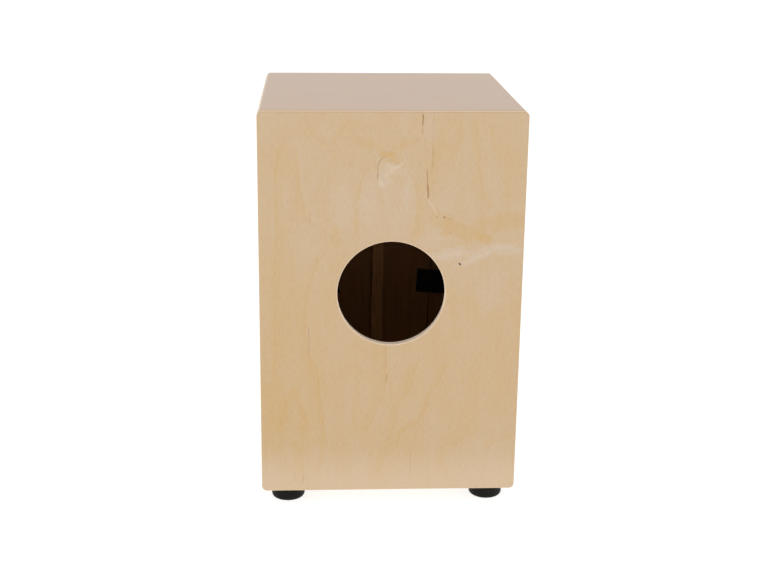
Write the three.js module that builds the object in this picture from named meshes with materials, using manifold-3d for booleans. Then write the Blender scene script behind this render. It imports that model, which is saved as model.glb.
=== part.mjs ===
// A cajon: a wooden box drum that the player sits on, with a thin front plate to strike,
// a round sound hole in the back and coiled snare wires lying against the inside of the plate.
//
// Millimetres, +Z up. The front plate faces -Y and the sound hole faces +Y. The origin is on the
// floor, midway between the four feet. Touching wood meets face to face; pieces that turn in
// a hole or lie in a slanted seat keep CLEARANCE around them.

import * as THREE from "three";
import { mergeVertices } from "three/addons/utils/BufferGeometryUtils.js";
import Module from "manifold-3d";

const wasm = await Module();
wasm.setup();

// ---- driving dimensions ----
const WIDTH = 300; // X, outside
const DEPTH = 305; // Y, outside, front plate and back panel included
const BODY_HEIGHT = 454; // Z, wooden body without its feet
const SHELL = 12; // plywood of the top, bottom and sides
const BACK = 9; // plywood of the back panel
const PLATE = 3; // plywood of the front plate
const CORNER_RADIUS = 6; // the four long edges that run front to back
const FRONT_EDGE_RADIUS = 2.5; // round the outline of the front
const BACK_EDGE_RADIUS = 2; // round the outline of the back
const CLEARANCE = 0.3;
const PAST = 1; // how far outside a face the tool that cuts it starts

const HOLE_RADIUS = 61.5;
const HOLE_HEIGHT = 245; // above the body's underside
const HOLE_EASING = 0.5; // rounding of the hole's two rims

const FRONT_BATTEN = 20; // square section behind the front plate
const REAR_BATTEN = 15; // square section in front of the back panel

// The recess holds the screw and its washer, which lie at the seat's height. The taper is at the top.
const FOOT = {
  radius: 19.75,
  height: 19,
  inset: 30.5, // from the body's outside to the foot's middle
  roundness: 3.5,
  bore: 2.6,
  recess: 10.8,
  seat: 9,
  taper: 0.6,
  taperHeight: 1,
};
const WASHER = { radius: 10, thickness: 1.5 };
const FOOT_SCREW = { head: 4.6, headHeight: 2.8, shank: 2.2, length: 21.5 };

const PLATE_SCREW = { head: 3.4, headDepth: 1.9, shank: 1.6, length: 22 };
const SIDE_SCREWS = 5; // down each side of the front plate
const END_SCREWS = 3; // along its top and along its bottom
const END_SCREW_PITCH = 75;
const SIDE_SCREW_MARGIN = 22; // from the body's top and underside to the outermost side screws

// The gap is to the front plate, the lean is in degrees, and x is where it is at its turning height.
const STRUT = { width: 15, thickness: 12, gap: 4, lean: -0.66, x: 1.2, turningHeight: 150, endGap: 0.5 };
const SEAT = { beyond: 3, behind: 20 }; // how far its seat is cut past its ends, and open behind it
const SNARE = {
  halfWidth: 46, // of the end strips
  bottom: 216, // of the lower strip above the body's underside
  length: 196, // over both strips
  stripHeight: 9,
  stripThickness: 1.8,
  strandRadius: 1,
  strandInset: 2, // from the outer edges of the strips
  strandBite: 0.4, // how deep a strand sits in its strip
  strandsPerSide: 9,
  firstStrand: 9.5, // from the centre
  strandPitch: 4.4,
};
const SNARE_SCREW = { head: 2.6, headHeight: 1.3, shank: 1.3, length: 9, spacing: 9 };

// One plain string down each side, stretched between two screw eyes and wider apart at the top.
const STRING = {
  radius: 0.6,
  offset: 4.6, // from the front plate's inner face
  low: 67.1, // distance from the middle at the lower rail
  high: 79, // and at the upper rail
  loop: 2.6,
};
const EYE = { ring: 3.4, wire: 0.9, shank: 1.2, length: 11 };

// A felt pad over each string, glued to the plate by hand, so each is turned a little differently.
const DAMPER = { width: 50, height: 31.5, thickness: 7.5, x: 78.6, z: 166.4 };
const DAMPER_TURN = { left: -4.3, right: 2 }; // degrees

// ---- places that follow from them ----
const bodyBottom = FOOT.height;
const bodyTop = FOOT.height + BODY_HEIGHT;
const innerBottom = bodyBottom + SHELL;
const innerTop = bodyTop - SHELL;
const innerHalfWidth = WIDTH / 2 - SHELL;
const plateInside = -DEPTH / 2 + PLATE; // Y of the front plate's inner face
const backInside = DEPTH / 2 - BACK; // Y of the back panel's inner face
const holeZ = bodyBottom + HOLE_HEIGHT;

// ---- materials ----
const finish = (color, roughness, metalness = 0) =>
  new THREE.MeshStandardMaterial({ color, roughness, metalness });
const birchVeneer = finish(0xd6ba90, 0.45);
const plateVeneer = finish(0xd3b48a, 0.45);
const rawPine = finish(0xd9bd8e, 0.8);
const rubber = finish(0x23211f, 0.75);
const felt = finish(0x0d0c0c, 1);
const zincSteel = finish(0xb9bcc0, 0.35, 1);
const blackSteel = finish(0x2a2a2c, 0.4, 1);

// ---- solids: three.js geometry in, manifold-3d for joining and cutting, geometry out ----
function solid(geometry) {
  const bare = geometry.index ? geometry.toNonIndexed() : geometry.clone();
  bare.deleteAttribute("normal");
  bare.deleteAttribute("uv");
  const merged = mergeVertices(bare, 1e-4);
  return new wasm.Manifold(
    new wasm.Mesh({
      numProp: 3,
      vertProperties: merged.attributes.position.array,
      triVerts: new Uint32Array(merged.index.array),
    }),
  );
}

function geometryOf(body) {
  const mesh = body.getMesh();
  const geometry = new THREE.BufferGeometry();
  geometry.setAttribute("position", new THREE.BufferAttribute(new Float32Array(mesh.vertProperties), 3));
  geometry.setIndex(new THREE.BufferAttribute(new Uint32Array(mesh.triVerts), 1));
  geometry.computeVertexNormals();
  return geometry;
}

const box = (low, high) => {
  const size = high.map((h, i) => h - low[i]);
  const centre = high.map((h, i) => (h + low[i]) / 2);
  return solid(new THREE.BoxGeometry(...size).translate(...centre));
};

// A solid of revolution about Z. The profile holds [radius, z] pairs, listed upwards along the
// outside. It starts and ends on the axis, or on the same point for a ring.
function turned(profile, segments) {
  const points = profile.map(([r, z]) => new THREE.Vector2(r, z));
  return solid(new THREE.LatheGeometry(points, segments).rotateX(Math.PI / 2));
}

const DEGREES = Math.PI / 180;

// Points on a quarter circle from angle a to b, in degrees, about (r, z).
function arc(r, z, radius, a, b, steps) {
  return Array.from({ length: steps + 1 }, (_, i) => {
    const angle = (a + ((b - a) * i) / steps) * DEGREES;
    return [r + radius * Math.cos(angle), z + radius * Math.sin(angle)];
  });
}

// ---- the assembly ----
const cajon = new THREE.Group();
cajon.name = "cajon";

function add(name, body, material, parent = cajon) {
  const mesh = new THREE.Mesh(geometryOf(body), material);
  mesh.name = name;
  parent.add(mesh);
  return mesh;
}

// Group of pieces that share one placement.
function station(x, y, z, turnAboutY = 0) {
  const group = new THREE.Group();
  group.position.set(x, y, z);
  group.rotation.y = turnAboutY * DEGREES;
  cajon.add(group);
  return group;
}

// A block along Y, rounded along its four long edges and round both of its ends.
function roundedBlock(low, high, endRadius) {
  const halfWidth = WIDTH / 2;
  const r = CORNER_RADIUS;
  const outline = new THREE.Shape();
  outline.absarc(halfWidth - r, bodyTop - r, r, 0, Math.PI / 2);
  outline.absarc(-halfWidth + r, bodyTop - r, r, Math.PI / 2, Math.PI);
  outline.absarc(-halfWidth + r, bodyBottom + r, r, Math.PI, 1.5 * Math.PI);
  outline.absarc(halfWidth - r, bodyBottom + r, r, 1.5 * Math.PI, 2 * Math.PI);
  const block = new THREE.ExtrudeGeometry(outline, {
    depth: high - low - 2 * endRadius,
    curveSegments: 6,
    bevelEnabled: true,
    bevelThickness: endRadius,
    bevelSize: endRadius,
    bevelOffset: -endRadius,
    bevelSegments: 4,
  });
  // The outline is drawn in X and Z, and extruding it backwards runs the block along Y.
  return solid(block.rotateX(Math.PI / 2).translate(0, high - endRadius, 0));
}

// The body's outside with every edge rounded: panels are cut to it.
function envelope() {
  const beyond = 20;
  const front = roundedBlock(-DEPTH / 2, DEPTH / 2 + beyond, FRONT_EDGE_RADIUS);
  const back = roundedBlock(-DEPTH / 2 - beyond, DEPTH / 2, BACK_EDGE_RADIUS);
  return front.intersect(back);
}

// ---- screws ----
const SCREW_SIDES = 12;

// Countersunk, its flat head at z = 0 and its shank downwards. Growing it gives the hole it needs.
function countersunk({ head, headDepth, shank, length }, grow = 0) {
  const mouth = [
    [head + grow, PAST],
    [0, PAST],
  ];
  return turned(
    [
      [0, -length - grow],
      [shank + grow, -length - grow],
      [shank + grow, -headDepth],
      [head + grow, 0],
      ...(grow ? mouth : [[0, 0]]),
    ],
    SCREW_SIDES,
  );
}

// Where a pan head's wall ends and its crown begins, as shares of its height and radius.
const PAN = { wall: 0.45, shoulder: 0.85, shoulderRadius: 0.8, sides: 16 };

// Pan head standing on z = 0, its shank downwards.
function panHead({ head, headHeight, shank, length }) {
  return turned(
    [
      [0, -length],
      [shank, -length],
      [shank, 0],
      [head, 0],
      [head, headHeight * PAN.wall],
      [head * PAN.shoulderRadius, headHeight * PAN.shoulder],
      [0, headHeight],
    ],
    PAN.sides,
  );
}

const drill = (radius, low, high) =>
  turned(
    [
      [0, low],
      [radius, low],
      [radius, high],
      [0, high],
    ],
    SCREW_SIDES,
  );

// Where the front plate's screws go: down both sides and along the top and the bottom.
function plateScrewPlaces() {
  const places = [];
  const edge = WIDTH / 2 - SHELL / 2;
  const low = bodyBottom + SIDE_SCREW_MARGIN;
  const pitch = (BODY_HEIGHT - 2 * SIDE_SCREW_MARGIN) / (SIDE_SCREWS - 1);
  for (let i = 0; i < SIDE_SCREWS; i++) {
    places.push({ name: `plate_screw_left_${i + 1}`, x: -edge, z: low + i * pitch });
    places.push({ name: `plate_screw_right_${i + 1}`, x: edge, z: low + i * pitch });
  }
  for (let i = 0; i < END_SCREWS; i++) {
    const x = (i - (END_SCREWS - 1) / 2) * END_SCREW_PITCH;
    places.push({ name: `plate_screw_bottom_${i + 1}`, x, z: bodyBottom + SHELL / 2 });
    places.push({ name: `plate_screw_top_${i + 1}`, x, z: bodyTop - SHELL / 2 });
  }
  return places;
}

const HEAD_SINK = 0.1; // a plate screw's head lies this far below the plate's face
const screwPlaces = plateScrewPlaces();

// All the plate screws' holes as one solid.
function plateScrewHoles() {
  const hole = countersunk(PLATE_SCREW, CLEARANCE).rotate([90, 0, 0]);
  return screwPlaces
    .map(({ x, z }) => hole.translate([x, -DEPTH / 2 + HEAD_SINK, z]))
    .reduce((all, one) => all.add(one));
}

function plateScrews() {
  for (const { name, x, z } of screwPlaces) {
    const screw = add(name, countersunk(PLATE_SCREW), blackSteel, station(x, -DEPTH / 2 + HEAD_SINK, z));
    screw.rotation.x = Math.PI / 2;
  }
}

// ---- feet ----
function footPlaces() {
  const x = WIDTH / 2 - FOOT.inset;
  const y = DEPTH / 2 - FOOT.inset;
  return [
    { name: "front_left", x: -x, y: -y },
    { name: "front_right", x, y: -y },
    { name: "rear_left", x: -x, y },
    { name: "rear_right", x, y },
  ];
}

function footBody() {
  const { radius, height, roundness, bore, recess, seat, taper, taperHeight } = FOOT;
  return turned(
    [
      [recess, 0],
      ...arc(radius - roundness, roundness, roundness, -90, 0, 4),
      [radius, height - taperHeight],
      [radius - taper, height],
      [bore, height],
      [bore, seat],
      [recess, seat],
      [recess, 0],
    ],
    40,
  );
}

function feet() {
  const foot = footBody();
  const { radius, thickness } = WASHER;
  const washer = turned(
    [
      [FOOT.bore, -thickness],
      [radius, -thickness],
      [radius, 0],
      [FOOT.bore, 0],
      [FOOT.bore, -thickness],
    ],
    24,
  );
  const screw = panHead(FOOT_SCREW);
  for (const { name, x, y } of footPlaces()) {
    const corner = station(x, y, 0);
    add(`foot_${name}`, foot, rubber, corner);
    add(`foot_washer_${name}`, washer, zincSteel, corner).position.z = FOOT.seat;
    const fastener = add(`foot_screw_${name}`, screw, zincSteel, corner);
    fastener.rotation.x = Math.PI; // driven upwards
    fastener.position.z = FOOT.seat - thickness;
  }
}

// Pilot holes in the bottom panel for the four feet's screws.
function footScrewHoles() {
  const tip = FOOT.seat - WASHER.thickness + FOOT_SCREW.length;
  const hole = drill(FOOT_SCREW.shank + CLEARANCE, bodyBottom - PAST, tip + CLEARANCE);
  return footPlaces()
    .map(({ x, y }) => hole.translate([x, y, 0]))
    .reduce((all, one) => all.add(one));
}

// ---- snare: the strut, and the wires it holds against the front plate ----
const strutFront = plateInside + STRUT.gap;
const strutTurnsAt = bodyBottom + STRUT.turningHeight;
const strutEnds = { low: innerBottom + STRUT.endGap, high: innerTop - STRUT.endGap };

// The strut, or with grow the seat it needs, leaning in its place.
function strutBlock(grow = 0) {
  const { width, thickness, lean } = STRUT;
  const half = width / 2 + grow;
  const beyond = grow ? SEAT.beyond : 0;
  const behind = grow ? SEAT.behind : 0;
  return box(
    [-half, strutFront - grow, strutEnds.low - strutTurnsAt - beyond],
    [half, strutFront + thickness + behind, strutEnds.high - strutTurnsAt + beyond],
  )
    .rotate([0, lean, 0])
    .translate([STRUT.x, 0, strutTurnsAt]);
}

const snareBottomZ = bodyBottom + SNARE.bottom;

// Strands and both end strips, soldered into one. Its own frame: X along the strips, Z along the
// strands from the lower strip's lower edge, and Y = 0 on the strips' rear face.
function snareWires() {
  const { halfWidth, length, stripHeight, stripThickness, strandRadius, strandInset, strandBite } = SNARE;
  const strip = (low) => box([-halfWidth, -stripThickness, low], [halfWidth, 0, low + stripHeight]);
  let wires = strip(0).add(strip(length - stripHeight));
  const rod = new THREE.CylinderGeometry(strandRadius, strandRadius, length - 2 * strandInset, 8);
  const strand = solid(rod.rotateX(Math.PI / 2)).translate([
    0,
    -stripThickness - strandRadius + strandBite,
    length / 2,
  ]);
  for (let i = 0; i < SNARE.strandsPerSide; i++) {
    const x = SNARE.firstStrand + i * SNARE.strandPitch;
    wires = wires.add(strand.translate([x, 0, 0])).add(strand.translate([-x, 0, 0]));
  }
  return wires;
}

// The four screws that hold the strips to the strut, in the snare's own frame.
function snareScrewPlaces() {
  const { length, stripHeight } = SNARE;
  const x = SNARE_SCREW.spacing / 2;
  return [
    { name: "snare_screw_lower_left", x: -x, z: stripHeight / 2 },
    { name: "snare_screw_lower_right", x, z: stripHeight / 2 },
    { name: "snare_screw_upper_left", x: -x, z: length - stripHeight / 2 },
    { name: "snare_screw_upper_right", x, z: length - stripHeight / 2 },
  ];
}

// The snare is square to the leaning strut, and starts where the strut is at that height.
const snareX = STRUT.x + (snareBottomZ - strutTurnsAt) * Math.sin(STRUT.lean * DEGREES);

function snareScrewHoles() {
  const hole = drill(
    SNARE_SCREW.shank + CLEARANCE,
    -SNARE_SCREW.length - CLEARANCE,
    SNARE.stripThickness + PAST,
  ).rotate([90, 0, 0]);
  return snareScrewPlaces()
    .map(({ x, z }) => hole.translate([x, 0, z]))
    .reduce((all, one) => all.add(one));
}

function snare() {
  const rearFace = strutFront - CLEARANCE;
  const hanger = station(snareX, rearFace, snareBottomZ, STRUT.lean);
  add("snare_wires", snareWires().subtract(snareScrewHoles()), zincSteel, hanger);
  for (const { name, x, z } of snareScrewPlaces()) {
    const screw = add(name, panHead(SNARE_SCREW), zincSteel, hanger);
    screw.rotation.x = Math.PI / 2;
    screw.position.set(x, -SNARE.stripThickness, z);
  }
  const holes = snareScrewHoles()
    .rotate([0, STRUT.lean, 0])
    .translate([snareX, rearFace, snareBottomZ]);
  add("snare_strut", strutBlock().subtract(holes), rawPine);
}

// ---- strings and the pads that quieten them ----
// Where each string hangs: its two eyes are in the front rails, straight above and below its ends.
function stringRuns() {
  const low = innerBottom + FRONT_BATTEN;
  const high = innerTop - FRONT_BATTEN;
  const reach = EYE.ring + EYE.wire + CLEARANCE; // from a rail to the middle of an eye
  return [
    { side: "left", sign: -1 },
    { side: "right", sign: 1 },
  ].map(({ side, sign }) => ({
    side,
    lower: new THREE.Vector3(sign * STRING.low, plateInside + STRING.offset, low + reach),
    upper: new THREE.Vector3(sign * STRING.high, plateInside + STRING.offset, high - reach),
  }));
}

// A string along +Z from 0 to its length, with a loop round each end point. Growing it gives the
// channel it needs through a pad.
function stringBody(length, grow = 0) {
  const radius = STRING.radius + grow;
  const wire = new THREE.CylinderGeometry(radius, radius, length - 2 * STRING.loop, 8);
  const loop = solid(new THREE.TorusGeometry(STRING.loop, radius, 8, 20).rotateY(Math.PI / 2));
  return solid(wire.rotateX(Math.PI / 2))
    .translate([0, 0, length / 2])
    .add(loop)
    .add(loop.translate([0, 0, length]));
}

// Degrees a string leans about Y, from the upright.
const leanOf = ({ lower, upper }) => Math.atan2(upper.x - lower.x, upper.z - lower.z) / DEGREES;

// Eye with its ring's centre at the origin and its shank upwards.
function screwEye() {
  const { ring, wire, shank, length } = EYE;
  const hoop = solid(new THREE.TorusGeometry(ring, wire, 10, 24).rotateX(Math.PI / 2));
  return hoop.add(drill(shank, ring, ring + length));
}

// Pilot holes for the screw eyes.
function eyeHoles() {
  const { ring, wire, shank, length } = EYE;
  const hole = drill(shank + CLEARANCE, ring - wire, ring + length + CLEARANCE);
  return stringRuns()
    .flatMap(({ lower, upper }) => [
      hole.translate(upper.toArray()),
      hole.mirror([0, 0, 1]).translate(lower.toArray()),
    ])
    .reduce((all, one) => all.add(one));
}

// From an eye's middle to the middle of the loop that pulls on it.
const hitch = EYE.ring - EYE.wire + STRING.loop - STRING.radius - CLEARANCE;

function stringsAndPads() {
  const eye = screwEye();
  const { width, height, thickness } = DAMPER;
  const block = box([-width / 2, CLEARANCE, -height / 2], [width / 2, thickness, height / 2]);
  for (const run of stringRuns()) {
    const { side, lower, upper } = run;
    const length = lower.distanceTo(upper) - 2 * hitch;
    const lean = leanOf(run);
    const string = stringBody(length).translate([0, 0, hitch]);
    add(`string_${side}`, string, zincSteel, station(...lower.toArray(), lean));
    add(`string_eye_upper_${side}`, eye, zincSteel, station(...upper.toArray()));
    add(`string_eye_lower_${side}`, eye, zincSteel, station(...lower.toArray(), 180));

    const channel = stringBody(length, CLEARANCE)
      .translate([0, 0, hitch])
      .rotate([0, lean, 0])
      .translate(lower.toArray());
    const x = side === "left" ? -DAMPER.x : DAMPER.x;
    const place = [x, plateInside, bodyBottom + DAMPER.z];
    const pad = block.rotate([0, DAMPER_TURN[side], 0]).translate(place);
    add(`string_damper_${side}`, pad.subtract(channel), felt);
  }
}

// ---- panels and battens ----
function panels() {
  const outside = envelope();
  const holes = plateScrewHoles();
  const half = WIDTH / 2;
  const cut = (low, high) => box(low, high).intersect(outside);
  const shell = (low, high) =>
    cut([low[0], plateInside, low[1]], [high[0], backInside, high[1]]).subtract(holes);

  add("top_panel", shell([-half, innerTop], [half, bodyTop]), birchVeneer);
  const floor = shell([-half, bodyBottom], [half, innerBottom]);
  add("bottom_panel", floor.subtract(footScrewHoles()), birchVeneer);
  add("left_side_panel", shell([-half, innerBottom], [-innerHalfWidth, innerTop]), birchVeneer);
  add("right_side_panel", shell([innerHalfWidth, innerBottom], [half, innerTop]), birchVeneer);

  const plate = cut([-half, -DEPTH / 2, bodyBottom], [half, plateInside, bodyTop]);
  add("front_plate", plate.subtract(holes), plateVeneer);

  const back = cut([-half, backInside, bodyBottom], [half, DEPTH / 2, bodyTop]);
  add("back_panel", back.subtract(soundHole()), birchVeneer);
}

// What the sound hole removes: a cylinder that flares at both faces, so that its rims are eased.
function soundHole() {
  const e = HOLE_EASING;
  const flare = (z, from, to) => arc(HOLE_RADIUS + e, z, e, from, to, 3);
  return turned(
    [
      [0, -PAST],
      [HOLE_RADIUS + e, -PAST],
      ...flare(e, 270, 180),
      ...flare(BACK - e, 180, 90),
      [HOLE_RADIUS + e, BACK + PAST],
      [0, BACK + PAST],
    ],
    96,
  )
    .rotate([-90, 0, 0])
    .translate([0, backInside, holeZ]);
}

function battens() {
  const frontCuts = strutBlock(CLEARANCE).add(eyeHoles());
  const rows = [
    { where: "front", low: plateInside, size: FRONT_BATTEN, cuts: frontCuts },
    { where: "rear", low: backInside - REAR_BATTEN, size: REAR_BATTEN },
  ];
  for (const { where, low, size, cuts } of rows) {
    const inner = innerHalfWidth - size;
    const upright = box([inner, low, innerBottom], [innerHalfWidth, low + size, innerTop]);
    const rail = (z) => {
      const plain = box([-inner, low, z], [inner, low + size, z + size]);
      return cuts ? plain.subtract(cuts) : plain;
    };
    add(`${where}_batten_right`, upright, rawPine);
    add(`${where}_batten_left`, upright.mirror([1, 0, 0]), rawPine);
    add(`${where}_batten_bottom`, rail(innerBottom), rawPine);
    add(`${where}_batten_top`, rail(innerTop - size), rawPine);
  }
}

panels();
battens();
snare();
stringsAndPads();
plateScrews();
feet();

export default cajon;
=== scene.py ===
"""A cajon seen from behind: the looks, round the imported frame. Metres, +Z up, the sound hole faces +Y."""

import math

import bmesh
import bpy
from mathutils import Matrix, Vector


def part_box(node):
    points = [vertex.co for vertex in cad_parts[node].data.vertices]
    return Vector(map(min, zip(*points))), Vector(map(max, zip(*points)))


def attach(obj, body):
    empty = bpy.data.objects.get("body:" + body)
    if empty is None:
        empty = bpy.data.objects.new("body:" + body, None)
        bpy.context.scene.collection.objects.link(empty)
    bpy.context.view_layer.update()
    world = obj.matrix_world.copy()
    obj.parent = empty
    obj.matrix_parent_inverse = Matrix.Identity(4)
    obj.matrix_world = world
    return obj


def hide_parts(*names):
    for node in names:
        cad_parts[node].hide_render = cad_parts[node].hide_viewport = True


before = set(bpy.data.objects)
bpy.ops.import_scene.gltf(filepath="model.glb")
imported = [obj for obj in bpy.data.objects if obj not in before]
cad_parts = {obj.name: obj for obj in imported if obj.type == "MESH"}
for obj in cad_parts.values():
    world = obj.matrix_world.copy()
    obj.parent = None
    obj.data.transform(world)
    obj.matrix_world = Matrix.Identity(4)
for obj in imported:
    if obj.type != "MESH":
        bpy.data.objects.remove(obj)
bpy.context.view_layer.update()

MM = 0.001  # metres
TO_MM = 1000  # from metres
back_low, back_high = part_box("back_panel")
top_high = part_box("top_panel")[1]
side_low, side_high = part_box("right_side_panel")
bottom_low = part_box("bottom_panel")[0]
plate_low, plate_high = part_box("front_plate")
PANEL = round((side_high.x - side_low.x) * TO_MM, 3)  # mm, the panels' thickness
PLATE = round((plate_high.y - plate_low.y) * TO_MM, 3)  # mm


# ---------------------------------------------------------------- camera, light and floor

CAMERA = {
    "place": (0.0864, 1.5103, 0.7041),  # metres
    "turn": (74.24, -0.57, 177.37),  # degrees
    "sensor": 36,  # mm, the width that the lens and the shift refer to
    "lens": 59.3622,  # mm
    "shift": (0.0092, -0.0459),  # of the sensor's width
}
HORIZON = 1.02  # brightness of the cove at the level of the eye
OVERHEAD = 0.6  # brightness of the cove straight up
FLOOR_REACH = 14  # metres, from the object to the floor's edge
FLOOR_WHITE = 0.36
FLOOR_GLOW = 0.82
LAMP_WATTS = 9
LAMP_SIZE = 1.4  # metres
LAMP_AIM = (0, 0, 0.25)  # a point inside the object


def make_camera():
    data = bpy.data.cameras.new("camera")
    data.sensor_width = CAMERA["sensor"]
    data.lens = CAMERA["lens"]
    data.shift_x, data.shift_y = CAMERA["shift"]
    camera = bpy.data.objects.new("camera", data)
    camera.location = CAMERA["place"]
    camera.rotation_euler = [math.radians(angle) for angle in CAMERA["turn"]]
    bpy.context.scene.collection.objects.link(camera)
    bpy.context.scene.camera = camera


def softbox(name, place):
    """A square lamp at place that faces the object."""
    data = bpy.data.lights.new(name, "AREA")
    data.shape = "SQUARE"
    data.size = LAMP_SIZE
    data.energy = LAMP_WATTS
    lamp = bpy.data.objects.new(name, data)
    lamp.location = place
    lamp.rotation_euler = (Vector(place) - Vector(LAMP_AIM)).to_track_quat("Z", "Y").to_euler()
    lamp.visible_glossy = False  # the cove makes the reflections
    bpy.context.scene.collection.objects.link(lamp)


def make_world():
    """A white cove: brightest at the horizon and softer overhead."""
    world = bpy.data.worlds.new("studio")
    world.use_nodes = True
    tree = world.node_tree
    axes = tree.nodes.new("ShaderNodeSeparateXYZ")
    fade = tree.nodes.new("ShaderNodeMapRange")
    tree.links.new(tree.nodes.new("ShaderNodeTexCoord").outputs["Generated"], axes.inputs[0])
    tree.links.new(axes.outputs["Z"], fade.inputs["Value"])
    fade.inputs["To Min"].default_value = HORIZON
    fade.inputs["To Max"].default_value = OVERHEAD
    tree.links.new(fade.outputs["Result"], tree.nodes["Background"].inputs["Strength"])
    tree.nodes["Background"].inputs["Color"].default_value = (1, 1, 1, 1)
    bpy.context.scene.world = world
    bpy.context.scene.view_settings.view_transform = "Standard"


def make_floor():
    """White acrylic, lit a little from below as a product table is, so that shadows stay pale."""
    mesh = bpy.data.meshes.new("floor")
    signs = ((-1, -1), (1, -1), (1, 1), (-1, 1))
    corners = [(x * FLOOR_REACH, y * FLOOR_REACH, 0) for x, y in signs]
    mesh.from_pydata(corners, [], [(0, 1, 2, 3)])
    floor = bpy.data.objects.new("floor", mesh)
    bpy.context.scene.collection.objects.link(floor)
    acrylic = bpy.data.materials.new("white_acrylic")
    acrylic.use_nodes = True
    shader = acrylic.node_tree.nodes["Principled BSDF"]
    shader.inputs["Base Color"].default_value = (FLOOR_WHITE, FLOOR_WHITE, FLOOR_WHITE, 1)
    shader.inputs["Roughness"].default_value = 0.9
    shader.inputs["Specular IOR Level"].default_value = 0.1
    shader.inputs["Emission Color"].default_value = (1, 1, 1, 1)
    shader.inputs["Emission Strength"].default_value = FLOOR_GLOW
    mesh.materials.append(acrylic)


def make_studio():
    make_world()
    make_floor()
    softbox("key", (0.5, 1.9, 2.2))
    softbox("front", (-0.8, -1.9, 2.2))


# ---------------------------------------------------------------- writing materials


class Num:
    """A number or a colour that a material's nodes make. Arithmetic on it adds nodes."""

    def __init__(self, graph, socket):
        self.graph = graph
        self.socket = socket

    def __add__(self, other):
        return self.graph.math("ADD", self, other)

    def __sub__(self, other):
        return self.graph.math("SUBTRACT", self, other)

    def __rsub__(self, other):
        return self.graph.math("SUBTRACT", other, self)

    def __mul__(self, other):
        return self.graph.math("MULTIPLY", self, other)

    def __rmul__(self, other):
        return self.graph.math("MULTIPLY", other, self)

    def __truediv__(self, other):
        return self.graph.math("DIVIDE", self, other)

    def __pow__(self, other):
        return self.graph.math("POWER", self, other)

    def __abs__(self):
        return self.graph.math("ABSOLUTE", self)

    def __neg__(self):
        return self.graph.math("MULTIPLY", self, -1)


class Graph:
    """Writes one material. Places are in millimetres in the object's own frame."""

    def __init__(self, name):
        self.material = bpy.data.materials.new(name)
        self.material.use_nodes = True
        self.tree = self.material.node_tree
        self.shader = self.tree.nodes["Principled BSDF"]

    def node(self, kind, **settings):
        node = self.tree.nodes.new(kind)
        for key, value in settings.items():
            setattr(node, key, value)
        return node

    def put(self, socket, value):
        if isinstance(value, Num):
            self.tree.links.new(value.socket, socket)
        else:
            socket.default_value = value

    def math(self, operation, *values):
        node = self.node("ShaderNodeMath", operation=operation)
        for socket, value in zip(node.inputs, values):
            self.put(socket, value)
        return Num(self, node.outputs[0])

    def place(self):
        coordinates = self.node("ShaderNodeTexCoord").outputs["Object"]
        axes = self.node("ShaderNodeSeparateXYZ")
        self.tree.links.new(coordinates, axes.inputs[0])
        return [Num(self, axes.outputs[i]) * TO_MM for i in range(3)]

    def noise(self, x, y, z, detail=2, roughness=0.5, distortion=0):
        """Smooth noise, about 0 to 1 round 0.5, that varies over one unit of x, y and z."""
        vector = self.node("ShaderNodeCombineXYZ")
        for socket, value in zip(vector.inputs, (x, y, z)):
            self.put(socket, value)
        noise = self.node("ShaderNodeTexNoise")
        self.tree.links.new(vector.outputs[0], noise.inputs["Vector"])
        noise.inputs["Scale"].default_value = 1
        noise.inputs["Detail"].default_value = detail
        noise.inputs["Roughness"].default_value = roughness
        noise.inputs["Distortion"].default_value = distortion
        return Num(self, noise.outputs[0])

    def ramp(self, value, low, high):
        """0 below low, 1 above high and smooth between them. With low above high it falls."""
        node = self.node("ShaderNodeMapRange", interpolation_type="SMOOTHSTEP")
        falls = low > high
        limits = (high, low, 1, 0) if falls else (low, high, 0, 1)
        for name, number in zip(("From Min", "From Max", "To Min", "To Max"), limits):
            node.inputs[name].default_value = number
        self.put(node.inputs["Value"], value)
        return Num(self, node.outputs["Result"])

    def mix(self, first, second, share):
        """A colour between two: the first at a share of 0 and the second at 1."""
        node = self.node("ShaderNodeMix", data_type="RGBA")
        self.put(node.inputs["Factor"], share)
        colours = [socket for socket in node.inputs if socket.type == "RGBA"]
        self.put(colours[0], first)
        self.put(colours[1], second)
        return Num(self, next(socket for socket in node.outputs if socket.type == "RGBA"))

    def mix_number(self, first, second, share):
        """The same between two plain numbers."""
        return (second - first) * share + first

    def finish(self, colour, roughness, height, depth, **sockets):
        """Sets the shader. Height is 0 to 1, depth is its size in millimetres, and sockets are the
        shader's other inputs by name, with _ for a space."""
        self.put(self.shader.inputs["Base Color"], colour)
        self.put(self.shader.inputs["Roughness"], roughness)
        for name, value in sockets.items():
            self.shader.inputs[name.replace("_", " ")].default_value = value
        bump = self.node("ShaderNodeBump")
        bump.inputs["Strength"].default_value = 1
        bump.inputs["Distance"].default_value = depth * MM
        self.put(bump.inputs["Height"], height)
        self.tree.links.new(bump.outputs["Normal"], self.shader.inputs["Normal"])
        return self.material


def srgb(red, green, blue):
    """A colour for a socket from the 0 to 255 values that a screen shows."""

    def linear(value):
        value /= 255
        return value / 12.92 if value <= 0.04045 else ((value + 0.055) / 1.055) ** 2.4

    return (linear(red), linear(green), linear(blue), 1)


# ---------------------------------------------------------------- birch

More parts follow.
